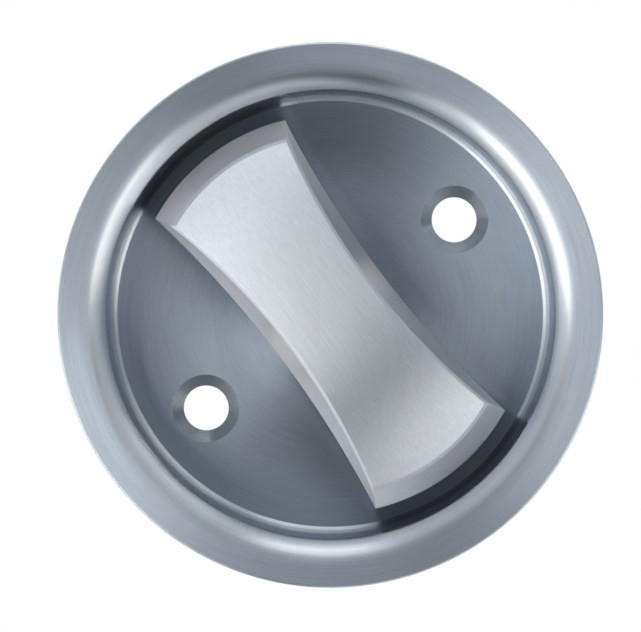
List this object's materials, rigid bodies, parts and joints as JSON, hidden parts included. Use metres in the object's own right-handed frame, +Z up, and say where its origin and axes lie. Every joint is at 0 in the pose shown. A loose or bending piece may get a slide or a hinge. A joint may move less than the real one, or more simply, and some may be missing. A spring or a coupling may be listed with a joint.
{
  "type": "flush thumb turn for a sliding door lock",
  "caption": "Round flush cup of satin steel with an hourglass thumb turn in its recess, which drives a square spindle through a quarter turn to work a sliding door's lock.",
  "frame": {"origin": "on the cup's axis, in the plane of the door's face, where the back of the lip seats", "axes": "+Y along the axis into the door, +Z up with the bar upright, +X to the right of a user who faces the door"},
  "size_m": [0.065, 0.045, 0.065],
  "materials": {
    "cup_steel": "satin, brushed round the axis",
    "turn_steel": "satin, fine blasted grain",
    "bush_plastic": "moulded, matt",
    "zinc_steel": "bright zinc plated",
    "spring_steel": "dark phosphated spring steel",
    "black_steel": "black oxide"
  },
  "bodies": {
    "rose": {"flush_cup": "cup_steel", "bearing_bush": "bush_plastic"},
    "turn": {"thumb_turn": "turn_steel", "stop_washer": "zinc_steel", "disc_spring": "spring_steel", "retaining_ring": "spring_steel", "spindle": "zinc_steel", "grub_screw": "black_steel"}
  },
  "joints": [
    {"name": "quarter_turn", "type": "hinge", "parent": "rose", "child": "turn", "pos_m": [0, 0, 0], "axis": [0, 1, 0], "range_deg": [0, 90]}
  ]
}
